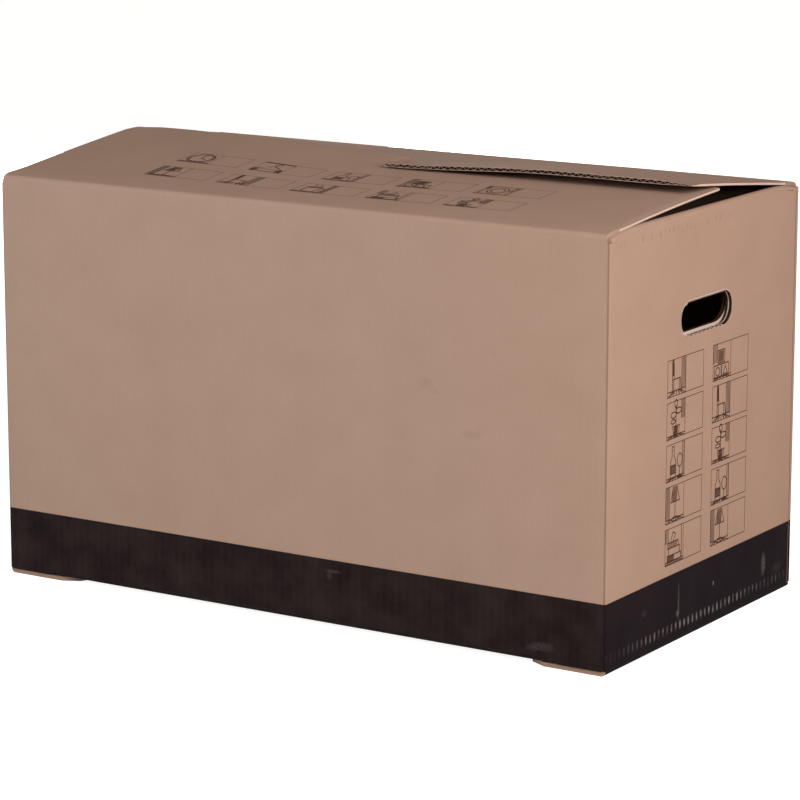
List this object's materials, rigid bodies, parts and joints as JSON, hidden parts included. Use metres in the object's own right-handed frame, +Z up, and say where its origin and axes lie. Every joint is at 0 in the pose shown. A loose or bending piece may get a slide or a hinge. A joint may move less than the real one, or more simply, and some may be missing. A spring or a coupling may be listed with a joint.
{
  "type": "moving box",
  "caption": "Closed corrugated moving box with interlocking slit top flaps, turned-in end flaps and a punched hand hole at each end.",
  "frame": {"origin": "on the floor under the middle of the box, at the underside of the end bottom flaps", "axes": "+X along the length towards the end wall with the glued joint, +Y towards the rear long wall, +Z up"},
  "size_m": [0.65, 0.356, 0.4082],
  "materials": {
    "kraft_board": "uncoated kraft liner with a dark printed band round the foot"
  },
  "bodies": {
    "root": {"carton": "kraft_board"}
  },
  "joints": []
}
